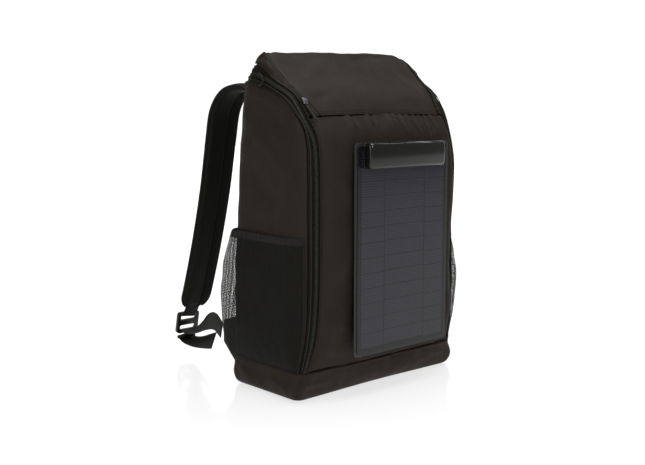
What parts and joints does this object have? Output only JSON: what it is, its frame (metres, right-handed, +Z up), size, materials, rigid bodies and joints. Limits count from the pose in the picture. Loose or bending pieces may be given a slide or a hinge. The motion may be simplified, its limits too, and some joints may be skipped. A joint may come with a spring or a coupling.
{
  "type": "solar backpack",
  "caption": "Upright padded backpack with a hood lid, side mesh pockets, padded shoulder straps and a flat solar panel with a charge controller on the front.",
  "frame": {"origin": "on the floor, at the middle of the underside of the base", "axes": "+Z up, -Y out of the front with the solar panel, +Y towards the wearer, +X to the right seen from the front"},
  "size_m": [0.347, 0.3835, 0.449],
  "materials": {
    "fabric": "matt coated polyester",
    "mesh": "knitted pocket mesh",
    "webbing": "woven webbing",
    "zip": "woven zip tape with nylon coil",
    "padding": "spacer mesh over foam",
    "lining": "plain polyester lining",
    "plastic": "satin black",
    "metal": "blackened zinc",
    "cells": "laminated solar cells",
    "board": "fibre board",
    "circuit": "circuit board"
  },
  "bodies": {
    "back_shell": {"base_boot": "fabric", "base_board": "board", "left_side_panel": "fabric", "right_side_panel": "fabric", "back_panel": "padding", "left_back_pad": "padding", "right_back_pad": "padding", "laptop_sleeve": "lining", "main_zip_rear_tape": "zip", "left_mesh_pocket": "mesh", "right_mesh_pocket": "mesh", "left_pocket_hem": "webbing", "right_pocket_hem": "webbing", "left_strap_wing": "fabric", "right_strap_wing": "fabric", "strap_yoke": "fabric"},
    "front_shell": {"front_panel": "fabric", "main_zip_front_tape": "zip", "left_gore": "fabric", "right_gore": "fabric", "back_gore": "fabric", "lid_zip_tape": "zip", "lid_pocket_floor": "lining", "panel_board": "board", "cell_laminate": "cells", "left_panel_tape": "webbing", "right_panel_tape": "webbing", "controller_base": "plastic", "controller_cover": "plastic", "output_socket": "metal", "controller_circuit": "circuit"},
    "lid": {"lid": "fabric"},
    "lid_slider": {"lid_slider": "metal"},
    "lid_pull": {"lid_pull": "webbing"},
    "left_main_slider": {"left_main_slider": "metal"},
    "left_main_pull": {"left_main_pull": "webbing"},
    "left_strap": {"left_shoulder_pad": "padding", "left_strap_webbing": "webbing", "left_webbing_tail": "webbing", "left_ladder_lock": "plastic"},
    "right_main_slider": {"right_main_slider": "metal"},
    "right_main_pull": {"right_main_pull": "webbing"},
    "right_strap": {"right_shoulder_pad": "padding", "right_strap_webbing": "webbing", "right_webbing_tail": "webbing", "right_ladder_lock": "plastic"},
    "haul_handle": {"haul_handle": "webbing"}
  },
  "joints": [
    {"name": "front_shell_open", "type": "hinge", "parent": "back_shell", "child": "front_shell", "pos_m": [0, -0.0915, 0.0402], "axis": [1, 0, 0], "range_deg": [0, 80]},
    {"name": "lid_open", "type": "hinge", "parent": "front_shell", "child": "lid", "pos_m": [0, -0.0785, 0.3675], "axis": [1, 0, 0], "range_deg": [0, 100]},
    {"name": "lid_slider_run", "type": "slide", "parent": "front_shell", "child": "lid_slider", "axis": [0, 0.7214, 0.6925], "range_m": [0, 0.07]},
    {"name": "lid_pull_swing", "type": "hinge", "parent": "lid_slider", "child": "lid_pull", "pos_m": [-0.1278, -0.07001, 0.37674], "axis": [-1, 0, 0], "range_deg": [0, 120]},
    {"name": "left_main_slider_run", "type": "slide", "parent": "back_shell", "child": "left_main_slider", "axis": [-1, 0, 0], "range_m": [0, 0.075]},
    {"name": "left_main_pull_swing", "type": "hinge", "parent": "left_main_slider", "child": "left_main_pull", "pos_m": [-0.0216, 0.0612, 0.41701], "axis": [0, 0, -1], "range_deg": [0, 110]},
    {"name": "left_strap_swing", "type": "hinge", "parent": "back_shell", "child": "left_strap", "pos_m": [-0.073, 0.068, 0.397], "axis": [0.1785, -0.1074, 0.9781], "range_deg": [-15, 15]},
    {"name": "right_main_slider_run", "type": "slide", "parent": "back_shell", "child": "right_main_slider", "axis": [1, 0, 0], "range_m": [0, 0.075]},
    {"name": "right_main_pull_swing", "type": "hinge", "parent": "right_main_slider", "child": "right_main_pull", "pos_m": [0.0216, 0.0612, 0.41701], "axis": [0, 0, 1], "range_deg": [0, 110]},
    {"name": "right_strap_swing", "type": "hinge", "parent": "back_shell", "child": "right_strap", "pos_m": [0.073, 0.068, 0.397], "axis": [-0.1785, -0.1074, 0.9781], "range_deg": [-15, 15]},
    {"name": "haul_handle_swing", "type": "hinge", "parent": "back_shell", "child": "haul_handle", "pos_m": [0, 0.075, 0.396], "axis": [1, 0, 0], "range_deg": [0, 150]}
  ]
}
